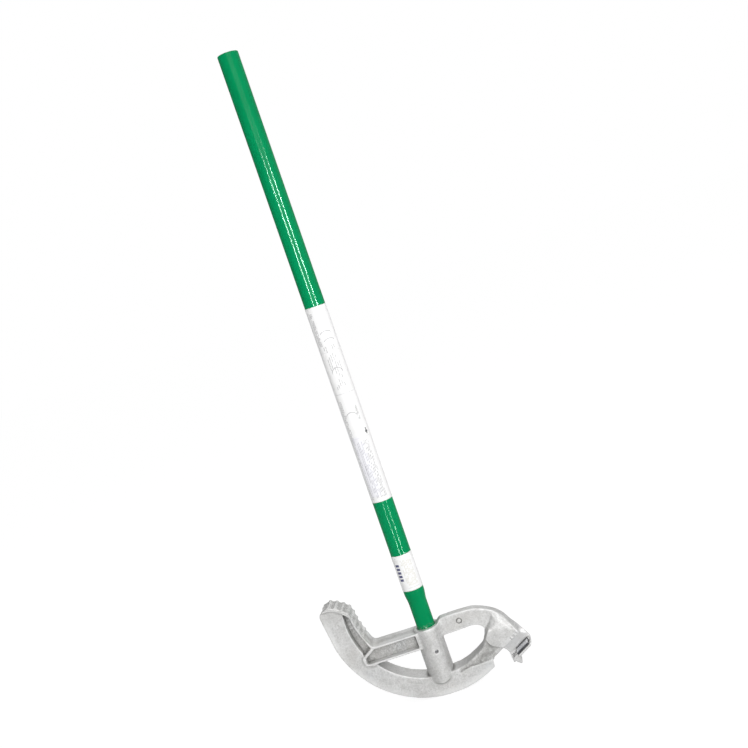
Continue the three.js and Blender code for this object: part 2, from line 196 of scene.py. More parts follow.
def thin_mesh(ob, ratio):
    """Replace the object's mesh by a decimated copy of the same name."""
    full = ob.data
    name = full.name
    thin = ob.modifiers.new("thin", "DECIMATE")
    thin.ratio = ratio
    thin.use_collapse_triangulate = True
    graph = bpy.context.evaluated_depsgraph_get()
    mesh = bpy.data.meshes.new_from_object(ob.evaluated_get(graph))
    ob.modifiers.clear()
    ob.data = mesh
    bpy.data.meshes.remove(full)
    mesh.name = name


def polygonise(name, field, low, voxel, to_world, triangles):
    """Closed mesh of the field's zero surface, of at most about `triangles` triangles.

    to_world maps field points (mm) to the world (mm). The normals come from the field.
    Returns the object and its vertices in index space.
    """
    grid = openvdb.FloatGrid(3.0)
    grid.copyFromArray(np.clip(field / voxel, -3, 3).astype(np.float32))
    points, quads = grid.convertToQuads(isovalue=0.0)
    points = np.asarray(points, np.float64)
    quads = np.asarray(quads, np.int64)
    one, two, three, four = (points[quads[:, i]] for i in range(4))
    if (np.einsum("ij,ij->i", one, np.cross(two, three)).sum()
            + np.einsum("ij,ij->i", one, np.cross(three, four)).sum() < 0):
        quads = quads[:, ::-1]
    rotation = to_world(np.eye(3)) - to_world(np.zeros((3, 3)))
    if np.linalg.det(rotation) < 0:
        quads = quads[:, ::-1]
    ob = add_object(name, new_mesh(name, points, quads))
    if 2 * len(quads) > triangles:
        thin_mesh(ob, triangles / (2 * len(quads)))
    mesh = ob.data
    points = np.empty(len(mesh.vertices) * 3, np.float32)
    mesh.vertices.foreach_get("co", points)
    points = points.reshape(-1, 3).astype(np.float64)

    def gradient(points):
        shifts = 0.6 * np.eye(3)
        slope = np.stack([sample(field, points + shift) - sample(field, points - shift)
                          for shift in shifts], -1)
        return slope / np.maximum(np.linalg.norm(slope, axis=1), 1e-9)[:, None]

    # pull the vertices back onto the surface
    normals = gradient(points)
    for _ in range(2):
        points = points - normals * np.clip(sample(field, points) / voxel, -0.4, 0.4)[:, None]
        normals = gradient(points)
    world = to_world(low + points * voxel)
    normals = normals @ rotation
    normals /= np.linalg.norm(normals, axis=1)[:, None]
    mesh.vertices.foreach_set("co", (world / 1000).astype(np.float32).ravel())
    shade_smooth(mesh)
    mesh.normals_split_custom_set_from_vertices(normals.tolist())
    mesh.validate()
    return ob, points


def add_attribute(ob, name, values):
    layer = ob.data.attributes.new(name, "FLOAT", "POINT")
    layer.data.foreach_set("value", np.asarray(values, np.float32))


# ------------------------------------------------------------------ the cast head: its grid
HEAD_VOXEL = 0.6
HEAD_MARGIN = 5
head_points, head_triangles = node_arrays("bender_head")
head_low = head_points.min(0) - HEAD_MARGIN
head_shape, columns = make_grid(head_low, head_points.max(0) + HEAD_MARGIN, HEAD_VOXEL)
x, y, z = (column.astype(np.float32) for column in columns)
abs_y = np.abs(y)
axis_r = np.hypot(x, y)                             # distance from the handle axis

# side plane: polar about the bend centre, and along and away from the hook's run
X, Z = np.meshgrid(x.ravel(), z.ravel(), indexing="ij")
bend_r = np.hypot(X - BEND_X, Z - BEND_Z)
bend_deg = np.degrees(np.arctan2(X - BEND_X, BEND_Z - Z))
run = (X - BEND_X) * math.cos(EXIT) + (Z - BEND_Z) * math.sin(EXIT)
drop = (X - BEND_X) * math.sin(EXIT) - (Z - BEND_Z) * math.cos(EXIT)


def lift(plane):
    """Spread a side-plane array over y."""
    return plane[:, None, :].astype(np.float32)


# tread of the pedal: x, z from its outer end to its root
TREAD_PATH = np.array([
    [-151, 189.5], [-144.5, 190.2], [-136.5, 188.8], [-128, 185.2], [-120, 179.8],
    [-112.5, 174.0], [-108.8, 169.5], [-107.2, 162], [-105, 149], [-102.6, 141], [-99.5, 131.4],
    [-96.3, 123], [-92.6, 114.5]], float)
RIDGES_AT = [12.5, 22.8, 33, 43.2, 53.8, 64.6, 75.6, 87.2]     # arc lengths of the ridges
NUB_PITCH = 8.0                                               # across the tread, along y

# recess along the inside of the shoe: x, z
BAND_OUTLINE = [
    (28.0, 27.6), (38.0, 31.0), (48.7, 33.2), (60.0, 33.4), (70.0, 34.0), (86.4, 35.4), (92, 31),
    (118, 44), (111.5, 48.0), (108.9, 48.8), (100.3, 51.9), (93.4, 55.1), (89.3, 59.0),
    (86.6, 64.3), (85.3, 69.5), (83.0, 73.0), (79.4, 67.4), (62.7, 55.7), (44.2, 47.1),
    (30.5, 43.0)]
BAND_DEPTH = 1.4

# raised bars: x, z, half length, half height, turn (rad)
PEDAL_BARS = [
    (-116.0, 160, 3.2, 1.0, 0.05), (-115.2, 153, 2.3, 1.0, 0.1), (-114.2, 146, 3.2, 1.0, 0.15),
    (-112.8, 139, 2.3, 1.0, 0.22), (-110.8, 132, 3.4, 1.0, 0.28), (-108.4, 125, 2.4, 1.0, 0.33),
    (-105.6, 118, 3.4, 1.0, 0.36)]
ARM_BARS = [(-63.5, 97.5, 5.5, 3.6, 0.02), (-51.0, 97.8, 2.2, 3.6, 0.02),
            (-44.5, 97.9, 2.2, 3.6, 0.02)]
SHOE_PAD = [(-84.5, 52.0, 9.0, 3.2, -0.62)]
RECESS_FLOOR = 6.0                                  # |y| of the floors in the pedal and arm

# sunken marks on the shoe's sides
RADIAL_MARKS = (-67.5, -60, -45, -30, -22.5)        # degrees
SLANTED_MARKS = ((-43.7, -35.9, 150.0, 143.6),      # degrees from, to, radius from, to
                 (-26.7, -16.4, 133.1, 134.2), (-24.9, -18.3, 126.9, 128.2))
DOT_MARKS = ((29.3, 16.4, 1.3), (41.3, 11.2, 1.0), (60.6, 26.9, 1.2),      # x, z, radius
             (67.0, 23.9, 1.1), (28.4, 5.0, 0.9), (50.2, 18.0, 0.8))
MARK_HALF, MARK_DEPTH = 0.55, 0.22

# lower edge of the hook's -y side
EDGE_RIDGES = ((58.1, 143.9), (64.7, 143.5), (70.9, 144.0))    # run, drop
EDGE_NOTCHES = (54.8, 61.4, 67.8)                              # run
EDGE_NOTCH_DROP = 144.6

DIMPLE_X, DIMPLE_Z = 53.6, 107.8                    # ringed dimple in the +x arm


def tread_frame():
    """Arc length along the tread and height above it over the side plane, and total length."""
    best = np.full(X.shape, 1e9)
    arc = np.zeros(X.shape)
    sign = np.ones(X.shape)
    total = 0.0
    for (start_x, start_z), (end_x, end_z) in zip(TREAD_PATH[:-1], TREAD_PATH[1:]):
        dx, dz = end_x - start_x, end_z - start_z
        length = math.hypot(dx, dz)
        part = np.clip(((X - start_x) * dx + (Z - start_z) * dz) / length / length, 0, 1)
        distance = np.hypot(X - start_x - part * dx, Z - start_z - part * dz)
        side = np.where((X - start_x) * (-dz) + (Z - start_z) * dx > 0, 1.0, -1.0)
        near = distance < best
        best = np.where(near, distance, best)
        arc = np.where(near, total + part * length, arc)
        sign = np.where(near, side, sign)
        total += length
    return arc, best * sign, total


def outline_distance(outline):
    """Signed distance to a closed outline in the side plane, negative inside."""
    best = np.full(X.shape, 1e9)
    inside = np.zeros(X.shape, bool)
    for (start_x, start_z), (end_x, end_z) in zip(outline, outline[1:] + outline[:1]):
        dx, dz = end_x - start_x, end_z - start_z
        part = np.clip(((X - start_x) * dx + (Z - start_z) * dz) / (dx * dx + dz * dz), 0, 1)
        best = np.minimum(best, np.hypot(X - start_x - part * dx, Z - start_z - part * dz))
        if start_z != end_z:
            inside ^= (((start_z > Z) != (end_z > Z))
                       & (X < dx * (Z - start_z) / dz + start_x))
    return np.where(inside, -best, best)


# ------------------------------------------------------------------ the cast head: its features
def soften_casting(raw):
    """Cast fillets and softer outsides. Also returns the mask of the crisp, machined places."""
    small = blur(raw, 0.5 / HEAD_VOXEL)
    large = blur(raw, 1.5 / HEAD_VOXEL)
    # no large fillets in the socket, the hook's lip and the shoe's groove
    crisp = step(18.6 - axis_r, 0, 1.5) * step(z, 58, 60)
    crisp = np.maximum(crisp, lift(step(run, 34, 38) * step(drop, 160, 163)))
    groove = lift(step(bend_r, 136, 142) * step(-np.abs(bend_deg + 30), -58, -56))
    crisp = np.maximum(crisp, groove * (abs_y < 15.6))
    field = np.minimum(small, large + crisp * 4)
    # hood: round the outside edges only
    soft = blur(small, 1.2 / HEAD_VOXEL)
    hood = lift(step(X, 62, 70) * step(run, 8, 14) * step(146.5 - drop, 3, 7)) * (y < 30)
    weight = hood * 0.6
    field = field * (1 - weight) + np.maximum(field, soft) * weight
    # boss: a large radius on both sides
    soft = blur(small, 4.0 / HEAD_VOXEL)
    weight = lift(step(run, 38, 48) * step(75 - run, 2, 5) * step(drop, 94, 102)
                  * step(138 - drop, 0, 5)) * step(abs_y, 9.6, 12.5)
    return field * (1 - weight) + soft * weight, crisp


def recess_band(field, rough):
    """Recessed, rough band along the inside of the shoe, on both sides."""
    outline = outline_distance(BAND_OUTLINE)
    fade = step(X, 26, 35)
    floor = SHOE_HALF - BAND_DEPTH
    for side in (-1, 1):
        if side > 0:                                # not under the hook's +y wall
            fade = fade * (1 - step(X, 86, 91) * step(drop, 134, 139))
        field = field + (lift(BAND_DEPTH * fade * step(-outline, -0.8, 0.8))
                         * step(side * y, floor - 1.5, floor - 0.2))
        band = lift(fade * step(-outline, -0.6, 0.4)) * step(side * y, floor - 2.5, floor - 1.5)
        rough = np.maximum(rough, band * 0.75)
    return field, rough


def roughen_floors(rough):
    """Rough floors of the recesses in the pedal and the -x arm."""
    arm = lift(step(X, -108, -104) * step(-X, 17, 21) * step(Z, 82, 86) * step(-Z, -112, -108))
    pedal = lift(step(bend_r, 70, 75) * step(124.6 - bend_r, 0, 1.5) * step(-X, 92, 95)
                 * step(Z, 97, 101) * step(-Z, -178, -175))
    floor = step(9.5 - abs_y, 0, 1.5)
    rough = np.maximum(rough, pedal * floor * 0.45)
    return np.maximum(rough, arm * floor * 0.55)


def add_bars(field, bars, face, height, corner=0.5):
    """Bars raised by `height` on the faces at |y| = face."""
    plane = np.full(X.shape, 9.0)
    for bar_x, bar_z, half_x, half_z, turn in bars:
        cos, sin = math.cos(turn), math.sin(turn)
        along, across = ((X - bar_x) * cos + (Z - bar_z) * sin,
                         -(X - bar_x) * sin + (Z - bar_z) * cos)
        over_x, over_z = np.abs(along) - half_x + corner, np.abs(across) - half_z + corner
        plane = np.minimum(plane, np.hypot(np.maximum(over_x, 0), np.maximum(over_z, 0))
                           + np.minimum(np.maximum(over_x, over_z), 0) - corner)
    solid = np.maximum(lift(plane), abs_y - (face + height))
    solid = np.maximum(solid, face - 3 - abs_y)
    return join(field, solid, 0.5)


def sink_marks(field):
    """Radial and slanted lines and dots, sunk into both sides of the shoe."""
    marks = np.full(X.shape, 9.0)
    for at in RADIAL_MARKS:
        along = bend_r - 149.5
        across = np.radians(bend_deg - at) * bend_r
        marks = np.minimum(marks, np.maximum(np.abs(across) - MARK_HALF, np.abs(along) - 5.2))
    for deg0, deg1, radius0, radius1 in SLANTED_MARKS:
        part = np.clip((bend_deg - deg0) / (deg1 - deg0), 0, 1)
        line = np.hypot(bend_r - (radius0 + (radius1 - radius0) * part),
                        np.radians(bend_deg - (deg0 + (deg1 - deg0) * part)) * bend_r)
        marks = np.minimum(marks, line - MARK_HALF)
    for dot_x, dot_z, radius in DOT_MARKS:
        marks = np.minimum(marks, np.hypot(X - dot_x, Z - dot_z) - radius)
    return field + (lift(MARK_DEPTH * step(-marks, -0.7, 0.5))
                    * step(abs_y, SHOE_HALF - 1.2, SHOE_HALF - 0.7) * (abs_y < SHOE_HALF + 1.2))


def shape_tread(field, rough):
    """Break the tread's ridges into staggered nubs, with small knobs between the rows."""
    arc, above, length = tread_frame()
    tread = (step(arc, 5, 9) * step(length - arc, 4, 8) * step(above, -2.0, -1.0)
             * step(-above, -9, -8) * (X < -85) * (Z > 108))
    stagger = np.zeros(X.shape)
    for i, at in enumerate(RIDGES_AT):
        stagger = np.where(np.abs(arc - at) < 5.3, (i % 2) * 0.5, stagger)
    cell = (y / NUB_PITCH + lift(stagger)) % 1.0
    groove = np.clip(1 - np.abs(cell - 0.5) / 0.23, 0, 1)
    groove = groove * groove * (3 - 2 * groove)
    between = np.zeros(X.shape)
    for at in np.convolve(RIDGES_AT, [0.5, 0.5], "valid"):
        between = np.maximum(between, np.clip(1 - np.abs(arc - at) / 1.6, 0, 1))
    knob = np.cos(2 * np.pi * (y / NUB_PITCH + 0.25)) * lift(between)
    field = field + (lift(tread) * step(18.2 - abs_y, 0, 1.0)
                     * (1.5 * groove - 0.7 * np.clip(knob, 0, 1)))
    return field, np.maximum(rough, lift(tread) * 0.35)


def detail_hook(field):
    """Serrated lower edge on the hook's -y side and fine ribs inside its +y part."""
    for at_run, at_drop in EDGE_RIDGES:
        box = np.maximum(np.abs(run - at_run) - 0.9, np.abs(drop - at_drop) - 2.7)
        field = join(field, np.maximum(lift(box), np.abs(y + 16.4) - 2.3), 0.6)
    for at_run in EDGE_NOTCHES:
        box = np.maximum(np.abs(run - at_run) - 0.9, np.abs(drop - EDGE_NOTCH_DROP) - 2.0)
        field = carve(field, np.maximum(lift(box), np.abs(y + 19.2) - 2.0))
    inside = step(run, 36, 39) * step(drop, 140, 146) * step(172.0 - drop, 0, 2)
    ribs = 0.5 + 0.5 * np.cos(2 * np.pi * run / 2.6)
    return field + (lift(inside * ribs * 0.17) * step(y, 2, 8) * (y < 16.5)
                    * np.where(np.abs(field) < 2.5, 1, 0))


def cut_socket(field):
    """Threaded socket for the handle, and the set screw's hole into it."""
    turn = np.arctan2(y, x)
    wave = 0.5 + 0.5 * np.cos(2 * np.pi * z / THREAD_PITCH - turn)
    bore = axis_r - (BORE_R + 0.55 * wave)
    bore = np.maximum(bore, np.maximum(z - 110.5, 66 - z))
    field = carve(field, bore)
    # the hole was narrowed by the smoothing, so it is opened to full width
    along = x * math.sin(SCREW_AZ) - y * math.cos(SCREW_AZ)
    across = x * math.cos(SCREW_AZ) + y * math.sin(SCREW_AZ)
    return carve(field, np.maximum(np.hypot(across, z - SCREW_Z) - 2.9, 10 - along))


def add_dimples(field):
    """On each side of the +x arm: a disc with a round groove and a raised centre."""
    ring = np.hypot(X - DIMPLE_X, Z - DIMPLE_Z)
    for side in (-1, 1):
        field = join(field, np.maximum(lift(ring - 5.4), np.abs(side * y - 6.2) - 1.2), 0.4)
        field = carve(field, np.maximum(lift(np.abs(ring - 3.9) - 0.9), 6.7 - side * y))
        field = join(field, np.maximum(lift(ring - 2.9), np.abs(side * y - 6.8) - 1.3), 0.4)
    return field


def cut_seam(field):
    """Narrow seam round the lip insert; also returns the mask for the painted shade beside it."""
    points, triangles = node_arrays("hook_insert")
    seam = mesh_field(points, triangles, head_low, HEAD_VOXEL, head_shape)
    drops = (points[:, 0] - BEND_X) * math.sin(EXIT) - (points[:, 2] - BEND_Z) * math.cos(EXIT)
    field = carve(field, np.maximum(seam - 0.8, lift(drop - (drops.min() + 1.5))))
    return field, np.clip(1.7 - seam, 0, 1).astype(np.float32)


def add_grain(field, crisp, rough):
    """As-cast undulation and grain."""
    coarse = noise_field(head_shape, cell=16, seed=3)
    fine = noise_field(head_shape, cell=3.4, seed=5)
    field = field + (0.085 * coarse + 0.045 * fine) * (1 - 0.8 * crisp)
    return field + 0.2 * rough * noise_field(head_shape, cell=2.6, seed=8)


def curvature(field):
    """Fine curvature, negative in hollows, and a deeper one at half resolution; the material
    darkens hollows by both as painted shade.
    """
    curve = blur(field, 2.4 / HEAD_VOXEL) - field
    # weaker painted shade in the hollows of this zone
    weak_shade_zone = lift(step(X, 86, 91) * step(112 - X, 0, 4) * step(Z, 80, 84)) * (abs_y > 7)
    curve = np.where(curve < 0, curve * (1 - 0.85 * weak_shade_zone), curve).astype(np.float32)
    half = field[::2, ::2, ::2]
    return curve, blur(half, 6.0 / (2 * HEAD_VOXEL)) - half


def wear_mask():
    """Wear in the shoe's groove and inside the hook."""
    wear = lift(step(bend_r, 136, 141) * step(-np.abs(bend_deg + 28), -60, -56)) * (abs_y < 16.5)
    return np.maximum(wear, lift(step(drop, 138, 142) * step(run, 20, 24)) * (y < 30))


def build_head():
    field, crisp = soften_casting(
        mesh_field(head_points, head_triangles, head_low, HEAD_VOXEL, head_shape))
    field, rough = recess_band(field, np.zeros(head_shape, np.float32))
    rough = roughen_floors(rough)
    field = add_bars(field, PEDAL_BARS, face=RECESS_FLOOR, height=0.5)
    field = add_bars(field, ARM_BARS, face=RECESS_FLOOR, height=0.4, corner=1.2)
    field = add_bars(field, SHOE_PAD, face=SHOE_HALF, height=0.001)
    field = sink_marks(field)
    field, rough = shape_tread(field, rough)
    field = detail_hook(field)
    field = cut_socket(field)
    field = add_dimples(field)
    field, grime_and_shade = cut_seam(field)
    field = add_grain(field, crisp, rough)
    curve, deep = curvature(field)

    ob, points = polygonise("head_casting", field, head_low, HEAD_VOXEL,
                            lambda points: points + np.array([AXIS_X, 0, 0]), triangles=190000)
    add_attribute(ob, "curve", sample(curve, points))
    add_attribute(ob, "deep", sample(deep, points / 2))
    add_attribute(ob, "rough", sample(rough, points))
    add_attribute(ob, "grime_and_shade", sample(grime_and_shade, points))
    add_attribute(ob, "wear", sample(wear_mask(), points))
    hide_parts("bender_head")
    return ob


# ------------------------------------------------------------------ the handle
PAINT_Z = 112.2                                     # the bare threaded end stops here
PAINT_GAP = 0.02
NECK_IN_R, TUBE_IN_R = 11.5, 13.4
THREAD_STEP = 0.22                                  # height of one ring of the threaded end
THREAD_DEPTH = 0.62
HANDLE_SEGMENTS = 96


def handle_radius(radius, height, turn):
    """Adds the thread at the lower end and faint dents along the pipe."""
    threaded = (step(height, END_Z + 1.0, END_Z + 4.0) * step(-height, -111.8, -109.0)
                * (radius > 14.0))
    wave = 0.5 + 0.5 * np.cos(2 * np.pi * height / THREAD_PITCH - turn)
    cut = radius - THREAD_DEPTH * threaded * wave ** 0.8
    dent = 0.05 * np.sin(height / 37.0 + 2 * turn) * (radius > 14.3) * step(height, 180, 220)
    return cut - np.abs(dent) * step(1058 - height, 0, 4)


def lathe(name, profile, first_bore):
    """Closed turned body about the handle axis.

    profile is a closed loop of (radius, z); rings of faces from first_bore on use slot 1.
    """
    rings, segments = len(profile), HANDLE_SEGMENTS
    turn = np.arange(segments) * 2 * np.pi / segments
    radius, height = (np.repeat(column[:, None], segments, 1)
                      for column in np.array(profile, float).T)
    radius = handle_radius(radius, height, turn[None, :])
    points = np.stack([AXIS_X + radius * np.cos(turn), radius * np.sin(turn), height], -1)
    i = np.arange(rings)[:, None]
    j = np.arange(segments)[None, :]
    above, beside = (i + 1) % rings, (j + 1) % segments
    faces = np.stack([i * segments + j, i * segments + beside,
                      above * segments + beside, above * segments + j], -1).reshape(-1, 4)
    mesh = new_mesh(name, points.reshape(-1, 3) / 1000, faces)
    slots = (np.arange(rings) >= first_bore).astype(np.int32)
    mesh.polygons.foreach_set("material_index", np.repeat(slots, segments))
    shade_smooth(mesh)
    return add_object(name, mesh)


def build_handle():
    """The painted pipe and, below the paint line, its bare threaded end."""
    # threaded end, outside going up, then inside going down
    end_out = [(NECK_R - 1.3, END_Z + 0.02), (NECK_R - 1.0, END_Z + 0.25),
               (NECK_R - 0.55, END_Z + 0.9)]
    height = END_Z
    while height + THREAD_STEP < 111.5:
        height += THREAD_STEP
        if height > END_Z + 1.2:
            end_out.append((NECK_R, height))
    end_out.append((NECK_R, PAINT_Z))
    end_in = [(NECK_IN_R, PAINT_Z), (NECK_IN_R, 110), (NECK_IN_R, END_Z + 1.0),
              (12.0, END_Z + 0.25), (12.5, END_Z + 0.02)]

    # pipe: neck, swage, full size and a rounded outer corner at the top
    pipe_out = [(NECK_R, at) for at in (PAINT_Z + PAINT_GAP, 112.6, 113.4, 118, 126, 136, 146,
                                        151, 153.5)]
    for i in range(1, 14):
        part = i / 14
        pipe_out.append((NECK_R + (TUBE_R - NECK_R) * (part * part * (3 - 2 * part)),
                         SWAGE_Z0 + (SWAGE_Z1 - SWAGE_Z0) * part))
    pipe_out += [(TUBE_R, at) for at in (SWAGE_Z1 + 1.5, 200, 260, 330, 400, 480, 560, 640, 720,
                                         800, 880, 960, 1030, TOP_Z - 2.0)]
    corner = 1.0
    for i in range(6):
        turn = math.pi / 2 * i / 5
        pipe_out.append((TUBE_R - corner + corner * math.cos(turn),
                         TOP_Z - corner + corner * math.sin(turn)))
    pipe_in = [(14.5, TOP_Z), (13.9, TOP_Z - 0.15), (13.5, TOP_Z - 0.6), (TUBE_IN_R, TOP_Z - 1.6),
               (TUBE_IN_R, 1000), (TUBE_IN_R, 700), (TUBE_IN_R, 400), (TUBE_IN_R, SWAGE_Z1 + 3),
               (13.1, SWAGE_Z1 - 1), (12.1, SWAGE_Z0 + 6), (NECK_IN_R, SWAGE_Z0 + 1),
               (NECK_IN_R, PAINT_Z + PAINT_GAP)]

    # the paint reaches over the first two rings inside the pipe's top
    pipe = lathe("handle_pipe", pipe_out + pipe_in, first_bore=len(pipe_out) + 2)
    end = lathe("handle_threaded_end", end_out + end_in, first_bore=len(end_out))
    for ob, finish in ((pipe, "green_paint"), (end, "screw_steel")):
        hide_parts("handle_tube")
    return pipe, end


# ------------------------------------------------------------------ the labels
LABEL_START = 96.5                                  # degrees from +x; the seam faces +y
LABEL_WRAP = 353.0
LABEL_COLUMNS = 140
LABEL_CORNER = 3.0
LABEL_SKINS = (0.01, 0.14)                          # outer and inner skin, below the CAD radius
EDGE_TUCK, EDGE_WIDTH = 0.05, 0.6                   # the outer skin dips at its edges


def label_points(low, high, rows):
    radius = (high.x - low.x) / 2 * 1000
    bottom, top = low.z * 1000, high.z * 1000
    start, end = math.radians(LABEL_START), math.radians(LABEL_START + LABEL_WRAP)
    points = []
    for below in LABEL_SKINS:
        skin = radius - below
        for part in np.linspace(0, 1, rows):
            for turn in np.linspace(start, end, LABEL_COLUMNS):
                edge = min(turn - start, end - turn) * radius
                inset = LABEL_CORNER - min(LABEL_CORNER, edge)
                cut = LABEL_CORNER - math.sqrt(max(0.0, LABEL_CORNER ** 2 - inset ** 2))
                height = bottom + cut + (top - bottom - 2 * cut) * part
                shift = 0.0
                if below == LABEL_SKINS[0]:
                    nearest = min(height - bottom, top - height, edge)
                    shift = -EDGE_TUCK * max(0.0, 1 - nearest / EDGE_WIDTH)
                points.append((AXIS_X + (skin + shift) * math.cos(turn),
                               (skin + shift) * math.sin(turn), height))
    return np.array(points) / 1000


def build_label(node, name):
    """A thin sheet wrapped round the pipe, with rounded corners."""
    low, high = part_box(node)
    rows = max(24, int((high.z * 1000 - low.z * 1000) / 3))
    points = label_points(low, high, rows)

    def at(skin, i, j):
        return skin * LABEL_COLUMNS * rows + i * LABEL_COLUMNS + j

    faces = []
    for i in range(rows - 1):
        for j in range(LABEL_COLUMNS - 1):
            faces.append((at(0, i, j), at(0, i, j + 1), at(0, i + 1, j + 1), at(0, i + 1, j)))
            faces.append((at(1, i, j), at(1, i + 1, j), at(1, i + 1, j + 1), at(1, i, j + 1)))
    last = LABEL_COLUMNS - 1
    for i in range(rows - 1):
        faces.append((at(0, i, 0), at(0, i + 1, 0), at(1, i + 1, 0), at(1, i, 0)))
        faces.append((at(0, i, last), at(1, i, last), at(1, i + 1, last), at(0, i + 1, last)))
    last = rows - 1
    for j in range(LABEL_COLUMNS - 1):
        faces.append((at(0, 0, j), at(1, 0, j), at(1, 0, j + 1), at(0, 0, j + 1)))
        faces.append((at(0, last, j), at(0, last, j + 1), at(1, last, j + 1), at(1, last, j)))
    mesh = new_mesh(name, points, np.array(faces))
    shade_smooth(mesh)
    mesh.set_sharp_from_angle(angle=math.radians(40))
    ob = add_object(name, mesh)
    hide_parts(node)
    return ob


# ------------------------------------------------------------------ small steel pieces
def build_insert():
    """Steel lip insert of the hook, with shallow grip lines on its working face."""
    points, triangles = node_arrays("hook_insert")
    voxel, margin = 0.22, 1.5
    # its own frame: along the run, y, and away from the bend centre; this mirrors the mesh
    cos, sin = math.cos(EXIT), math.sin(EXIT)
    turn = np.array([[cos, 0, sin], [0, 1, 0], [sin, 0, -cos]])
    local = (points - np.array([BEND_X, 0, BEND_Z])) @ turn.T
    low = local.min(0) - margin
    shape, (along, side, away) = make_grid(low, local.max(0) + margin, voxel)
    field = blur(mesh_field(local, triangles[:, ::-1], low, voxel, shape, band=6), 1.5)
    face = local[:, 2].min()
    middle = (local[:, 0].min() + local[:, 0].max()) / 2
    field = field + (0.16 * np.clip(np.cos(2 * np.pi * side / 2.4), 0, 1)
                     * step(face + 0.7 - away, 0, 0.3)
                     * step(10.5 - np.abs(along - middle), 0, 1))

    def to_world(local):
        return local @ turn + np.array([BEND_X + AXIS_X, 0, BEND_Z])

    ob, _ = polygonise("lip_insert", field.astype(np.float32), low, voxel, to_world,
                       triangles=24000)
    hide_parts("hook_insert")
    return ob


def build_screw():
    """Headless set screw with a hexagonal socket in its outer end."""
    points, _ = node_arrays("handle_set_screw")
    # rows: across, up and outward along the screw
    axes = np.stack([np.array([math.cos(SCREW_AZ), math.sin(SCREW_AZ), 0.0]),
                     np.array([0.0, 0.0, 1.0]),
                     np.array([math.sin(SCREW_AZ), -math.cos(SCREW_AZ), 0.0])])
    local = points @ axes.T
    voxel, margin = 0.1, 0.6
    pitch, thread_depth = 0.8, 0.3
    hex_half, hex_depth = 1.3, 2.4
    mid_x, mid_y = ((local[:, i].min() + local[:, i].max()) / 2 for i in (0, 1))
    inner, outer = local[:, 2].min(), local[:, 2].max()
    low = np.array([mid_x - SCREW_R - margin, mid_y - SCREW_R - margin, inner - margin])
    high = np.array([mid_x + SCREW_R + margin, mid_y + SCREW_R + margin, outer + margin])
    _, (across, up, along) = make_grid(low, high, voxel)
    across = across - mid_x
    up = up - mid_y
    radius = np.hypot(across, up)
    turn = np.arctan2(up, across)
    thread = thread_depth * np.abs(((along / pitch - turn / (2 * np.pi)) % 1.0) * 2 - 1)
    field = radius - (SCREW_R - 0.02 - thread)
    field = np.maximum(field, np.maximum(inner + 0.02 - along, along - outer + 0.02))
    # chamfers of the outer and inner end
    field = np.maximum(field, (radius + (along - outer)) - (SCREW_R - 0.45))
    field = np.maximum(field, (radius - (along - inner)) - (SCREW_R - 0.6))
    # socket with a chamfered mouth and a pointed floor
    socket = np.maximum.reduce([np.abs(across * math.cos(at) + up * math.sin(at))
                                for at in (0, math.pi / 3, 2 * math.pi / 3)]) - hex_half
    socket = np.minimum(socket, (radius + (along - outer)) - (hex_half + 0.28))
    floor = (outer - hex_depth) - along + 0.35 * (1 - np.clip(radius / hex_half, 0, 1))
    field = carve(field, np.maximum(socket, floor))

    def to_world(local):
        return local @ axes + np.array([AXIS_X, 0, 0])

    ob, _ = polygonise("set_screw", blur(field.astype(np.float32), 0.8), low, voxel, to_world,
                       triangles=26000)
    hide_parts("handle_set_screw")
    return ob


# ------------------------------------------------------------------ shader tools
class Nodes:
    """Writes shader nodes into a tree. Values may be numbers or sockets."""

    def __init__(self, tree):
        self.tree = tree
        tree.nodes.clear()

    def add(self, kind, inputs, output=0, **settings):
        node = self.tree.nodes.new("ShaderNode" + kind)
        for name, value in settings.items():
            setattr(node, name, value)
        for key, value in inputs.items():
            if isinstance(value, bpy.types.NodeSocket):
                self.tree.links.new(value, node.inputs[key])
            elif value is not None:
                node.inputs[key].default_value = value
        return node.outputs[output] if node.outputs else None

    def math(self, operation, first, second=None, clamp=False):
        return self.add("Math", {0: first, 1: second}, operation=operation, use_clamp=clamp)

    def times(self, first, second, clamp=False):
        return self.math("MULTIPLY", first, second, clamp)

    def plus(self, first, second):
        return self.math("ADD", first, second)

    def minus(self, first, second, clamp=False):
        return self.math("SUBTRACT", first, second, clamp)

    def ramp(self, value, span, to=(0.0, 1.0), kind="SMOOTHSTEP"):
        """Map the span of values onto the range `to`."""
        return self.add("MapRange", dict(enumerate((value, *span, *to))), interpolation_type=kind)

    def split(self, vector):
        nodes = self.add("SeparateXYZ", {0: vector}).node
        return nodes.outputs


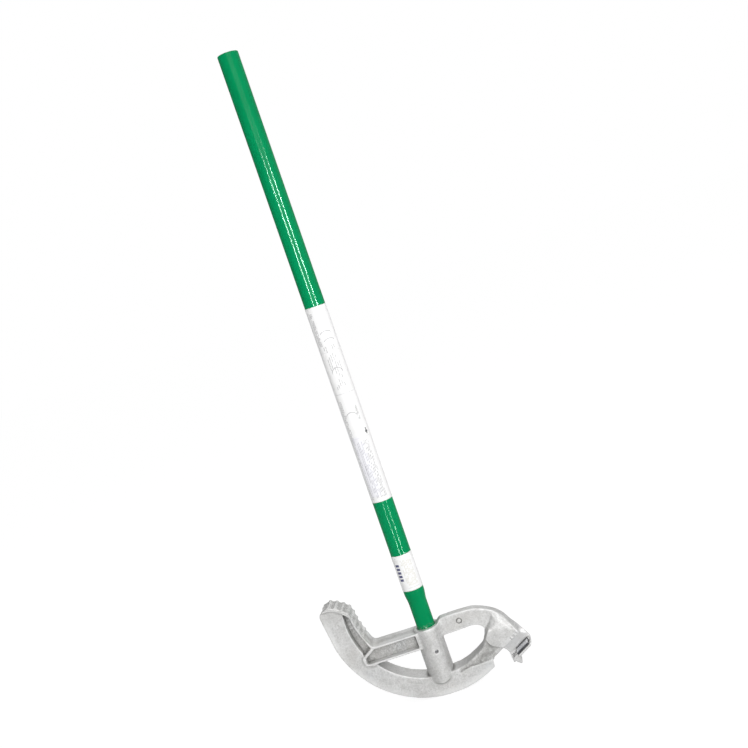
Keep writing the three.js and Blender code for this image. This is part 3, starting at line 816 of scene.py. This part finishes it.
class Material(Nodes):
    def __init__(self, name):
        self.material = bpy.data.materials.new(name)
        self.material.use_nodes = True
        super().__init__(self.material.node_tree)
        self.place = self.coords((1, 1, 1))

    def coords(self, stretch):
        place = self.add("TexCoord", {}, "Object")
        return self.add("Mapping", {0: place, "Scale": stretch})

    def noise(self, scale, detail, rough, distort=0.0, stretch=None):
        place = self.coords(stretch) if stretch else self.place
        return self.add("TexNoise", {"Vector": place, "Scale": scale, "Detail": detail,
                                     "Roughness": rough, "Distortion": distort})

    def mix(self, factor, first, second):
        first, second = ((*colour, 1.0) if isinstance(colour, tuple) else colour
                         for colour in (first, second))
        return self.add("Mix", {0: factor, 6: first, 7: second}, 2, data_type="RGBA")

    def stain(self, base, pattern, span, strength, colour):
        """Lay a colour over the base where the pattern is high in its span."""
        return self.mix(self.ramp(pattern, span, to=(0.0, strength)), base, colour)

    def bumps(self, *layers):
        """Stacked bump nodes; each layer is height, strength, distance in metres."""
        normal = None
        for height, strength, distance in layers:
            normal = self.add("Bump", {"Strength": strength, "Distance": distance,
                                       "Height": height, "Normal": normal})
        return normal

    def surface(self, color, metal, rough, normal, specular=None):
        shader = self.add("BsdfPrincipled", {
            "Base Color": color, "Metallic": metal, "Roughness": rough, "Normal": normal,
            "Specular IOR Level": specular})
        self.add("OutputMaterial", {0: shader})
        return self.material


# ------------------------------------------------------------------ materials
def cast_aluminium():
    mat = Material("cast_aluminium")
    curve, deep, rough, wear, grime_and_shade = (
        mat.add("Attribute", {}, "Fac", attribute_name=name)
        for name in ("curve", "deep", "rough", "wear", "grime_and_shade"))
    cloud = mat.noise(scale=30, detail=5, rough=0.65)
    blotch = mat.noise(scale=150, detail=3, rough=0.6)
    fleck = mat.noise(scale=340, detail=3, rough=0.65)
    grain = mat.noise(scale=700, detail=4, rough=0.7)
    speck = mat.noise(scale=2400, detail=2, rough=0.5)
    streak = mat.noise(scale=380, detail=3, rough=0.6, distort=0.4, stretch=(1.0, 1.0, 0.16))
    warm = mat.noise(scale=11, detail=2, rough=0.5)
    cool = mat.noise(scale=15, detail=2, rough=0.5, stretch=(1.3, 0.7, 1.0))
    base = mat.mix(mat.ramp(cloud, span=(0.32, 0.68)), (0.655, 0.652, 0.642),
                   (0.800, 0.800, 0.797))
    for pattern, span, strength, colour in (
            (blotch, (0.40, 0.70), 0.30, (0.50, 0.498, 0.488)),
            (fleck, (0.44, 0.70), 0.50, (0.46, 0.456, 0.445)),
            (streak, (0.42, 0.75), 0.35, (0.52, 0.52, 0.513)),
            (grain, (0.50, 0.72), 0.50, (0.47, 0.465, 0.452)),
            (speck, (0.56, 0.74), 0.35, (0.44, 0.434, 0.415)),
            (warm, (0.5, 0.72), 0.32, (0.68, 0.645, 0.60)),
            (cool, (0.52, 0.74), 0.30, (0.60, 0.64, 0.675))):
        base = mat.stain(base, pattern, span, strength, colour)
    # painted shade: darker in hollows, by the fine and the deep curvature; darker on rough floors
    # too
    hollow_shade = mat.ramp(curve, span=(-0.06, -0.80))
    base = mat.mix(mat.times(hollow_shade, 0.70), base, (0.17, 0.168, 0.160))
    base = mat.stain(base, deep, (-0.35, -2.6), 0.16, (0.28, 0.277, 0.268))
    # mask, pattern, its span and range, colour: rough floors twice, then edges and wear
    for mask, pattern, span, to, colour in (
            (rough, grain, (0.36, 0.66), (0.08, 0.62), (0.36, 0.357, 0.343)),
            (rough, fleck, (0.40, 0.62), (0.0, 0.45), (0.34, 0.338, 0.325)),
            (mat.ramp(curve, span=(0.16, 0.75)), cloud, (0.35, 0.6), (0.15, 0.65),
             (0.85, 0.85, 0.845)),
            (wear, streak, (0.3, 0.6), (0.1, 0.6), (0.74, 0.74, 0.745))):
        base = mat.mix(mat.times(mask, mat.ramp(pattern, span, to)), base, colour)
    # painted shade: near black within 1.7 mm of the lip insert, round its seam
    base = mat.mix(mat.times(grime_and_shade, 0.85), base, (0.05, 0.049, 0.046))
    gloss = mat.ramp(grain, span=(0.3, 0.75), to=(0.50, 0.68))
    gloss = mat.plus(gloss, mat.times(rough, 0.18))
    gloss = mat.minus(gloss, mat.times(wear, 0.12), clamp=True)
    cells = mat.add("TexVoronoi", {"Vector": mat.place, "Scale": 420}, "Distance")
    pits = mat.ramp(cells, span=(0.04, 0.20))
    normal = mat.bumps((grain, 0.65, 0.00028), (speck, 0.35, 0.00010), (pits, 0.35, 0.00018))
    return mat.surface(base, metal=0.74, rough=gloss, normal=normal, specular=0.3)


def steel(name, dark, light, rough, metal, stretch):
    mat = Material(name)
    lines = mat.noise(scale=700, detail=3, rough=0.6, stretch=stretch)
    cloud = mat.noise(scale=60, detail=3, rough=0.5)
    base = mat.mix(mat.ramp(lines, span=(0.35, 0.7)), dark, light)
    base = mat.stain(base, cloud, (0.55, 0.8), 0.4, tuple(part * 0.7 for part in dark))
    gloss = mat.ramp(lines, span=(0.3, 0.75), to=(rough - 0.06, rough + 0.12))
    fine = mat.noise(scale=1800, detail=2, rough=0.5)
    normal = mat.bumps((lines, 0.35, 0.00012), (fine, 0.2, 0.00006))
    return mat.surface(base, metal=metal, rough=gloss, normal=normal)


def screw_steel():
    return steel("screw_zinc", dark=(0.40, 0.405, 0.42), light=(0.56, 0.565, 0.58), rough=0.38,
                 metal=0.9, stretch=(1, 1, 1))


def thread_steel():
    return steel("spigot_thread_steel", dark=(0.36, 0.36, 0.35), light=(0.55, 0.55, 0.54),
                 rough=0.34, metal=1.0, stretch=(1, 1, 0.2))


def insert_steel():
    """Steel with a painted reflection: bright across the middle, painted shade at both y ends."""
    mat = Material("hook_steel")
    x, y, z = mat.split(mat.place)
    low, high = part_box("hook_insert")
    across = mat.times(mat.minus(y, low.y), 1000.0)
    width = (high.y - low.y) * 1000
    lines = mat.noise(scale=700, detail=3, rough=0.6, stretch=(0.3, 1, 1))
    tone = mat.ramp(lines, span=(0.35, 0.7))
    lit_steel = mat.mix(tone, (0.70, 0.71, 0.74), (0.90, 0.91, 0.94))
    tone = mat.ramp(lines, span=(0.35, 0.7))
    dark = mat.mix(tone, (0.10, 0.103, 0.112), (0.18, 0.184, 0.198))
    # painted reflection and shade: the lit copy across the middle, the shaded copy at both y ends
    front = mat.ramp(across, span=(0.13 * width + 0.5, 0.13 * width - 0.5))
    back = mat.ramp(across, span=(width - 2.6, width - 1.6))
    base = mat.mix(mat.math("MAXIMUM", front, back), lit_steel, dark)
    gloss = mat.ramp(lines, span=(0.3, 0.75), to=(0.20, 0.36))
    return mat.surface(base, metal=1.0, rough=gloss, normal=mat.bumps((lines, 0.35, 0.00012)))


def green_paint():
    mat = Material("green_paint")
    x, y, z = mat.split(mat.place)
    cloud = mat.noise(scale=30, detail=3, rough=0.55, stretch=(1, 1, 0.25))
    base = mat.mix(mat.ramp(cloud, span=(0.3, 0.75)), (0.0004, 0.236, 0.082),
                   (0.0008, 0.280, 0.101))
    # rubbed where the neck enters the socket, and at the top rim
    rub = mat.times(mat.ramp(z, span=(0.121, 0.1135)),
                    mat.ramp(mat.noise(scale=320, detail=4, rough=0.65), span=(0.50, 0.62)))
    rim = mat.times(mat.ramp(z, span=((TOP_Z - 2.5) / 1000, (TOP_Z - 0.2) / 1000)),
                    mat.ramp(mat.noise(scale=260, detail=4, rough=0.65), span=(0.52, 0.64)))
    chip = mat.math("MAXIMUM", rub, rim)
    scratches = mat.noise(scale=900, detail=4, rough=0.7, distort=0.3, stretch=(1, 1, 0.12))
    patches = mat.noise(scale=14, detail=2, rough=0.5)
    scuff = mat.times(mat.ramp(scratches, span=(0.70, 0.78)),
                      mat.ramp(patches, span=(0.56, 0.72)))
    base = mat.mix(mat.times(scuff, 0.30), base, (0.10, 0.42, 0.25))
    base = mat.mix(mat.times(chip, 0.8), base, (0.30, 0.30, 0.29))
    gloss = mat.ramp(mat.noise(scale=120, detail=3, rough=0.5), span=(0.3, 0.7),
                     to=(0.085, 0.14))
    gloss = mat.plus(gloss, mat.times(scuff, 0.25))
    gloss = mat.plus(gloss, mat.times(chip, 0.2))
    peel = mat.noise(scale=330, detail=2, rough=0.45, stretch=(1, 1, 0.7))
    normal = mat.bumps((peel, 0.10, 0.00012), (mat.times(chip, -1.0), 0.5, 0.00008))
    return mat.surface(base, metal=mat.times(chip, 0.7), rough=gloss, normal=normal,
                       specular=0.055)


def bore_steel():
    mat = Material("pipe_bore_steel")
    cloud = mat.ramp(mat.noise(scale=90, detail=4, rough=0.6), span=(0.35, 0.7))
    base = mat.mix(cloud, (0.12, 0.115, 0.105), (0.26, 0.25, 0.235))
    normal = mat.bumps((mat.noise(scale=600, detail=3, rough=0.6), 0.5, 0.0002))
    return mat.surface(base, metal=0.85, rough=0.5, normal=normal)


# ------------------------------------------------------------------ label print
GREY, DARK, NAVY = (0.33, 0.33, 0.34), (0.03, 0.03, 0.035), (0.03, 0.035, 0.15)
PRINT_AZ = math.radians(7.1)                        # middle of the print, from -y towards +x
PRINT_R = 16.95

# A print is: box (arc from, to, z from, to, optional edge softness), words (row pitch,
# dash length, seed, fill) or None for solid, colour, strength.
LONG_TEXT = (
    ((-15.5, -9.5, 591, 645), (1.55, 3.1, 3.0, 0.80), GREY, 0.95),
    ((-9.5, 10.5, 338, 432), (2.3, 4.2, 11.0, 0.74), GREY, 0.85),
    ((-18.0, -11.5, 336, 500), (1.9, 3.4, 17.0, 0.76), GREY, 0.75),
    ((-10, 9.0, 520, 590), (3.4, 6.5, 23.0, 0.42), GREY, 0.55))
# curved rules: centre arc, centre z, radius, z from, z to
LONG_CURVES = ((2.0, 600.0, 13.5, 596, 618), (4.0, 588.0, 13.0, 588, 604),
               (0.0, 545.0, 9.0, 545, 560), (-2.0, 470.0, 10.0, 470, 484))
LONG_MARKS = (
    ((-16.5, 16.5, 511.4, 512.2), None, GREY, 0.45),
    ((-16.5, 16.5, 580.0, 580.6), None, GREY, 0.25),
    ((-16.5, 16.5, 437.0, 437.6), None, GREY, 0.3),
    ((7.2, 10.6, 466, 489), (1.6, 2.4, 31.0, 0.82), DARK, 0.75),
    ((12.6, 14.4, 440.5, 450.5), None, DARK, 0.9),
    ((10.9, 16.1, 443.0, 446.0), None, DARK, 0.8),
    ((-8.6, -7.2, 384, 393), None, DARK, 0.62),
    ((-8.6, -7.2, 372, 381), None, DARK, 0.5),
    ((-16, 2, 340, 440, 3.0), None, (0.80, 0.80, 0.90), 0.35))
SHORT_BARS = tuple(((-17.5, -10.0, at, at + 3.9), None, NAVY, 0.92)
                   for at in (197.0 + 6.1 * i for i in range(5)))
SHORT_MARKS = (
    ((-6.5, 12.5, 188, 231), (2.1, 3.3, 5.0, 0.72), (0.62, 0.60, 0.50), 0.65),
    ((-6.5, 12.5, 184.2, 184.9), None, GREY, 0.35))


class LabelPrint(Material):
    """White vinyl printed by arc length round the pipe and height, both in mm."""

    def __init__(self, name):
        super().__init__(name)
        x, y, z = self.split(self.place)
        self.height = self.times(z, 1000.0)
        turn = self.math("ARCTAN2", self.minus(self.times(x, 1000.0), AXIS_X),
                         self.times(y, -1000.0))
        self.arc = self.times(self.minus(turn, PRINT_AZ), PRINT_R)
        cloud = self.noise(scale=40, detail=3, rough=0.5)
        self.ink = self.mix(self.ramp(cloud, span=(0.3, 0.7)), (0.885, 0.885, 0.88),
                            (0.93, 0.93, 0.93))

    def window(self, value, rise, fall):
        return self.times(self.ramp(value, rise), self.ramp(value, fall))

    def box(self, arc0, arc1, low, high, soft=0.25):
        return self.times(
            self.window(self.arc, (arc0 - soft, arc0 + soft), (arc1 + soft, arc1 - soft)),
            self.window(self.height, (low - soft, low + soft), (high + soft, high - soft)))

    def words(self, row, length, seed, fill):
        """Rows of short plain dashes that run along the pipe."""
        line = self.math("FLOOR", self.math("DIVIDE", self.arc, row))
        along = self.math("DIVIDE", self.plus(self.height, self.times(line, 3.7)), length)
        cell = self.math("FLOOR", along)
        key = self.add("CombineXYZ", {0: self.plus(line, seed), 1: cell, 2: 0.0})
        value = self.add("TexWhiteNoise", {"Vector": key}, "Value", noise_dimensions="2D")
        inked = self.ramp(value, span=(fill, fill - 0.02))
        across = self.math("FRACT", self.math("DIVIDE", self.arc, row))
        stroke = self.window(across, (0.22, 0.32), (0.78, 0.68))
        gap = self.window(self.math("FRACT", along), (0.02, 0.10), (0.98, 0.90))
        return self.times(self.times(inked, stroke), gap)

    def stamp(self, mask, colour, strength):
        self.ink = self.mix(self.times(mask, strength, clamp=True), self.ink, colour)

    def print_all(self, prints):
        for box, words, colour, strength in prints:
            mask = self.box(*box)
            if words:
                mask = self.times(mask, self.words(*words))
            self.stamp(mask, colour, strength)

    def curve(self, arc, height, radius, low, high):
        across, up = self.minus(self.arc, arc), self.minus(self.height, height)
        distance = self.math("SQRT", self.plus(self.math("POWER", across, 2.0),
                                               self.math("POWER", up, 2.0)))
        off = self.math("ABSOLUTE", self.minus(distance, radius))
        line = self.times(self.ramp(off, span=(0.75, 0.35)),
                          self.box(arc - 9, arc + 9, low, high))
        self.stamp(line, GREY, 0.75)


def label_vinyl(name, bottom, top, under, curves, over):
    mat = LabelPrint(name)
    mat.print_all(under)
    for curve in curves:
        mat.curve(*curve)
    mat.print_all(over)
    # grime at the lower and upper edge
    edge = mat.math("MINIMUM", mat.minus(mat.height, bottom), mat.minus(top, mat.height))
    grime_and_shade = mat.noise(scale=500, detail=3, rough=0.6)
    mask = mat.times(mat.ramp(edge, span=(2.2, 0.1)),
                     mat.ramp(grime_and_shade, span=(0.4, 0.7), to=(0.15, 0.6)))
    base = mat.mix(mask, mat.ink, (0.52, 0.56, 0.52))
    gloss = mat.ramp(mat.noise(scale=260, detail=3, rough=0.5), span=(0.3, 0.7),
                     to=(0.30, 0.42))
    waves = mat.noise(scale=70, detail=2, rough=0.5, stretch=(1, 1, 0.4))
    fine = mat.noise(scale=1500, detail=2, rough=0.5)
    normal = mat.bumps((waves, 0.18, 0.0004), (fine, 0.12, 0.00005))
    return mat.surface(base, metal=0.0, rough=gloss, normal=normal, specular=0.35)


# ------------------------------------------------------------------ assemble
for build, make_material, part in ((build_head, cast_aluminium, "head"),
                                   (build_insert, insert_steel, "head"),
                                   (build_screw, screw_steel, "set_screw")):
    ob = build()
    ob.data.materials.clear()
    ob.data.materials.append(make_material())
    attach(ob, part)

pipe, threaded_end = build_handle()
bore = bore_steel()
for ob, skin in ((pipe, green_paint()), (threaded_end, thread_steel())):
    ob.data.materials.append(skin)
    ob.data.materials.append(bore)
    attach(ob, "handle")

for node, name, artwork in (
        ("instruction_label", "instruction_label_sheet", (LONG_TEXT, LONG_CURVES, LONG_MARKS)),
        ("short_label", "short_label_sheet", (SHORT_BARS, (), SHORT_MARKS))):
    low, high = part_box(node)
    ob = build_label(node, name)
    ob.data.materials.append(
        label_vinyl(name + "_vinyl", low.z * 1000, high.z * 1000, *artwork))
    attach(ob, "handle")


# ------------------------------------------------------------------ stage, world, lights (metres)
def build_floor():
    """White floor that looks brighter to the camera than to the light."""
    half, height = 30.0, -0.0006
    mesh = bpy.data.meshes.new("floor")
    mesh.from_pydata([(-half, -half, height), (half, -half, height), (half, half, height),
                      (-half, half, height)], [], [(0, 1, 2, 3)])
    ob = add_object("floor", mesh)
    material = bpy.data.materials.new("floor_white")
    material.use_nodes = True
    nodes = Nodes(material.node_tree)
    diffuse = nodes.add("BsdfDiffuse", {"Color": (0.86, 0.86, 0.86, 1)})
    glow = nodes.add("Emission", {"Color": (1, 1, 1, 1), "Strength": 1.2})
    seen = nodes.add("LightPath", {}, "Is Camera Ray")
    share = nodes.ramp(seen, span=(0.0, 1.0), to=(0.0, 0.74), kind="LINEAR")
    mixed = nodes.add("MixShader", {0: share, 1: diffuse, 2: glow})
    nodes.add("OutputMaterial", {0: mixed})
    mesh.materials.append(material)


def build_world():
    """White to the camera; as light, darker towards -x and behind the tool."""
    world = bpy.data.worlds.new("studio")
    scene.world = world
    world.use_nodes = True
    nodes = Nodes(world.node_tree)
    place = nodes.add("TexCoord", {}, "Generated")
    x, y, z = nodes.split(place)
    side = nodes.ramp(x, span=(-1.0, 1.0), to=(0.20, 0.84), kind="LINEAR")
    view_axis = (-0.124, 0.988, -0.093)
    ahead = nodes.add("VectorMath", {0: place, 1: view_axis}, "Value", operation="DOT_PRODUCT")
    behind = nodes.ramp(ahead, span=(0.55, 0.90), to=(1.0, 0.22))
    seen = nodes.add("LightPath", {}, "Is Camera Ray")
    strength = nodes.ramp(seen, span=(0.0, 1.0), to=(nodes.times(side, behind), 1.0),
                          kind="LINEAR")
    sky = nodes.add("Background", {"Color": (1.0, 1.0, 1.0, 1), "Strength": strength})
    nodes.add("OutputWorld", {0: sky})


def add_area(name, width, height, energy, azimuth, distance, z, target, colour=(1, 1, 1)):
    """Area light; azimuth is in degrees about the world's z, from -y towards +x."""
    light = bpy.data.lights.new(name, "AREA")
    light.shape = "RECTANGLE"
    light.size = width
    light.size_y = height
    light.energy = energy
    light.color = colour
    ob = add_object(name, light)
    turn = math.radians(azimuth)
    place = (math.sin(turn) * distance, -math.cos(turn) * distance, z)
    ob.location = place
    ob.rotation_mode = "QUATERNION"
    ob.rotation_quaternion = (Vector(target) - Vector(place)).to_track_quat("-Z", "Y")
    return ob


def build_lights():
    add_area("front_soft", width=1.9, height=1.9, energy=40, azimuth=14, distance=2.3, z=1.15,
             target=(0, 0, 0.3))
    add_area("back_soft", width=1.6, height=1.6, energy=10, azimuth=178, distance=2.4, z=1.4,
             target=(0, 0, 0.4))
    # strips that only put long streaks on the pipe's gloss paint
    gloss = bpy.data.collections.new("gloss_only")
    gloss.objects.link(pipe)
    # name, width, height, energy, azimuth, distance, z, target z
    for *light, target_z in (
            ("strip_main", 0.34, 0.60, 175, 40.0, 2.2, 0.82, 0.82),
            ("strip_second", 0.26, 0.55, 130, -2.0, 2.2, 0.84, 0.84),
            ("strip_main_low", 0.09, 0.17, 4.2, 40.0, 0.6, 0.12, 0.26),
            ("strip_second_low", 0.08, 0.17, 3.6, -2.0, 0.6, 0.12, 0.26)):
        ob = add_area(*light, target=(AXIS_X / 1000, 0, target_z), colour=(0.68, 1.0, 0.87))
        ob.visible_diffuse = False
        ob.visible_camera = False
        ob.light_linking.receiver_collection = gloss


# rows: the camera's right, up and backward axes in the world
CAMERA_AXES = np.array([[0.9419623728185553, 0.087414556168333, -0.32413821675934884],
                        [0.312055710195435, 0.12807969867563523, 0.9413908988945991],
                        [0.12380679273957455, -0.9879039863048695, 0.0933680454678591]])
CAMERA_PLACE = (0.2712644706, -1.7259987036, 0.6874672925)
CAMERA_LENS = 53.764060216                          # mm


def build_camera():
    data = bpy.data.cameras.new("camera")
    data.sensor_width = 36.0
    data.sensor_fit = "AUTO"
    data.lens = CAMERA_LENS
    camera = add_object("camera", data)
    # nearest exact rotation to the axes
    left, _, right = np.linalg.svd(CAMERA_AXES)
    matrix = Matrix((left @ right).T.tolist()).to_4x4()
    matrix.translation = CAMERA_PLACE
    camera.matrix_world = matrix
    data.clip_start, data.clip_end = 0.05, 200
    scene.camera = camera


scene = bpy.context.scene
build_floor()
scene.view_settings.view_transform = "Standard"
scene.view_settings.look = "None"
scene.view_settings.exposure = 0.0
build_world()
build_lights()
build_camera()
